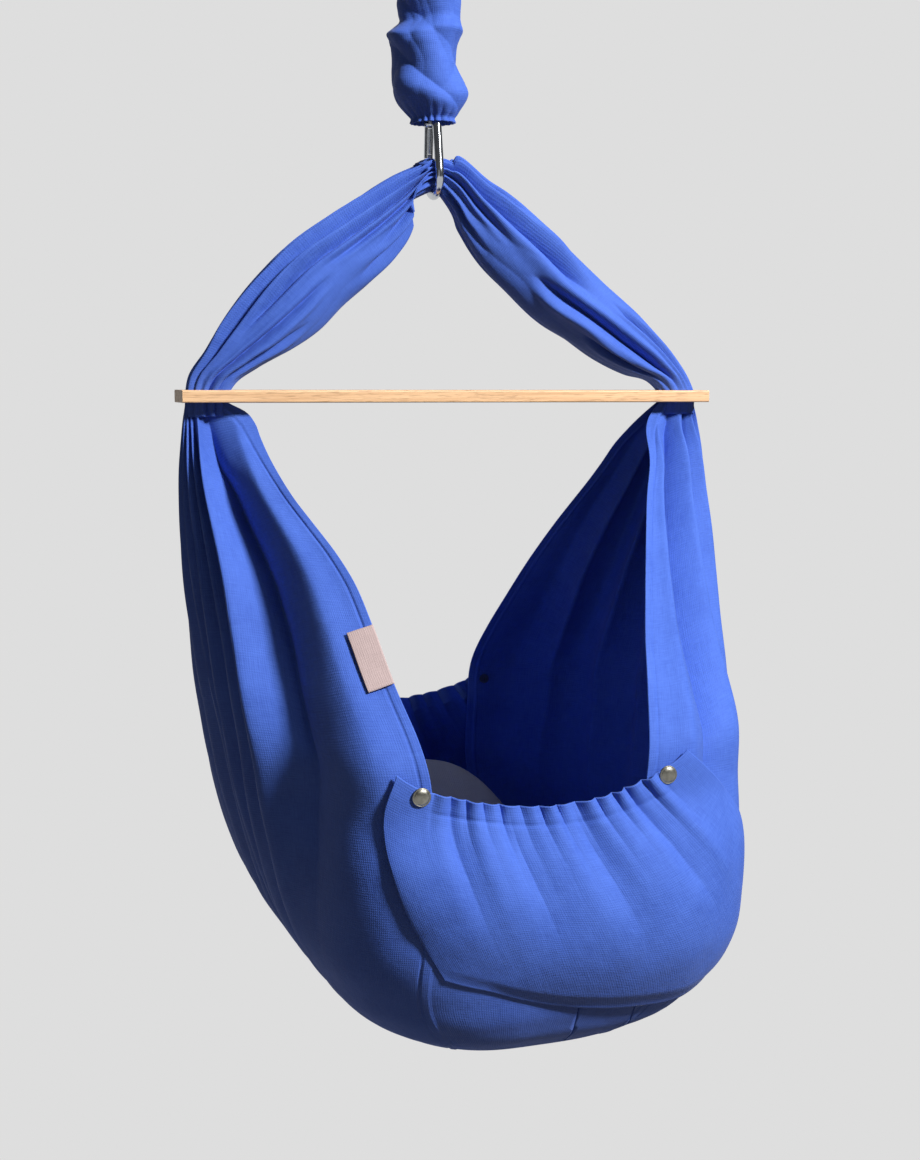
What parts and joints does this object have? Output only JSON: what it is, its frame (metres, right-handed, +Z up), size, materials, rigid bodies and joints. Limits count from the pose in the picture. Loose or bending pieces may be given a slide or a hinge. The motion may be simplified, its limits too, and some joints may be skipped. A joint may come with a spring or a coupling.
{
  "type": "hanging fabric baby cradle",
  "caption": "Hanging cloth baby cradle: swivel, snap hooks, spring in a gathered sleeve, wooden spreader bar, and a sling with press-studded elastic end panels and a mattress.",
  "frame": {"origin": "centre of the bore of the swivel's top eye, which hangs on a ceiling hook", "axes": "+Z up, +X along the spreader bar, -Y towards the foot end"},
  "size_m": [0.5462, 0.5798, 1.2387],
  "materials": {
    "swivel_steel": "zinc plated",
    "hook_steel": "bright zinc plated wire",
    "spring_steel": "zinc plated spring wire",
    "canvas": "royal blue cotton canvas, fine plain weave",
    "elastic": "woven elastic",
    "oak": "oiled light oak",
    "label": "woven satin, blank",
    "snap_nickel": "antique nickel",
    "mattress_cloth": "grey cotton jersey",
    "mattress_filling": "needled wool or foam"
  },
  "bodies": {
    "hanger": {"swivel_housing": "swivel_steel", "swivel_retainer": "swivel_steel", "swivel_balls": "swivel_steel"},
    "swivel_lower": {"swivel_pin": "swivel_steel", "swivel_bottom_eye": "swivel_steel"},
    "upper_hook": {"upper_snap_hook": "hook_steel", "upper_gate_rivet": "hook_steel"},
    "upper_gate": {"upper_gate": "hook_steel"},
    "spring": {"suspension_spring": "spring_steel", "spring_sleeve": "canvas", "sleeve_elastic_top": "elastic", "sleeve_elastic_bottom": "elastic"},
    "lower_hook": {"lower_snap_hook": "hook_steel", "lower_gate_rivet": "hook_steel"},
    "lower_gate": {"lower_gate": "hook_steel"},
    "cradle": {"spreader_bar": "oak", "sling_loop": "canvas", "left_side_panel": "canvas", "base_panel": "canvas", "right_side_panel": "canvas", "side_label": "label", "front_snap_studs": "snap_nickel", "front_snap_backs": "snap_nickel", "rear_snap_studs": "snap_nickel", "rear_snap_backs": "snap_nickel"},
    "front_flap": {"front_end_panel": "canvas", "front_elastic": "elastic", "front_snap_caps": "snap_nickel", "front_snap_sockets": "snap_nickel"},
    "rear_flap": {"rear_end_panel": "canvas", "rear_elastic": "elastic", "rear_snap_caps": "snap_nickel", "rear_snap_sockets": "snap_nickel"},
    "mattress": {"mattress_cover": "mattress_cloth", "mattress_core": "mattress_filling"}
  },
  "joints": [
    {"name": "swivel_spin", "type": "hinge", "parent": "hanger", "child": "swivel_lower", "pos_m": [0, 0, -0.03], "axis": [0, 0, 1], "continuous": true},
    {"name": "upper_hook_swing", "type": "hinge", "parent": "swivel_lower", "child": "upper_hook", "pos_m": [0, 0, -0.0663], "axis": [1, 0, 0], "range_deg": [-20, 20]},
    {"name": "upper_gate_open", "type": "hinge", "parent": "upper_hook", "child": "upper_gate", "pos_m": [0, 0.01324, -0.07458], "axis": [1, 0, 0], "range_deg": [-25, 0], "stiffness_Nm_per_rad": 0.3, "springref_deg": 5.73},
    {"name": "spring_swing", "type": "hinge", "parent": "upper_hook", "child": "spring", "pos_m": [0, 0, -0.1507], "axis": [0, 1, 0], "range_deg": [-10, 10]},
    {"name": "spring_stretch", "type": "slide", "parent": "spring", "child": "lower_hook", "axis": [0, 0, -1], "range_m": [-0.03, 0.12], "stiffness_N_per_m": 600, "springref_m": -0.033, "deforming": ["suspension_spring", "spring_sleeve", "sleeve_elastic_bottom"]},
    {"name": "lower_gate_open", "type": "hinge", "parent": "lower_hook", "child": "lower_gate", "pos_m": [0, 0.01324, -0.34748], "axis": [1, 0, 0], "range_deg": [-25, 0], "stiffness_Nm_per_rad": 0.3, "springref_deg": 5.73},
    {"name": "cradle_roll", "type": "hinge", "parent": "lower_hook", "child": "cradle", "pos_m": [0, 0, -0.4182], "axis": [0, 1, 0], "range_deg": [-12, 12]},
    {"name": "front_flap_open", "type": "hinge", "parent": "cradle", "child": "front_flap", "pos_m": [0.013, -0.2726, -1.1637], "axis": [1, 0, 0], "range_deg": [0, 100]},
    {"name": "rear_flap_open", "type": "hinge", "parent": "cradle", "child": "rear_flap", "pos_m": [0.013, 0.2726, -1.1637], "axis": [-1, 0, 0], "range_deg": [0, 100]},
    {"name": "mattress_lift", "type": "slide", "parent": "cradle", "child": "mattress", "axis": [0, 0, 1], "range_m": [0, 0.15]}
  ]
}
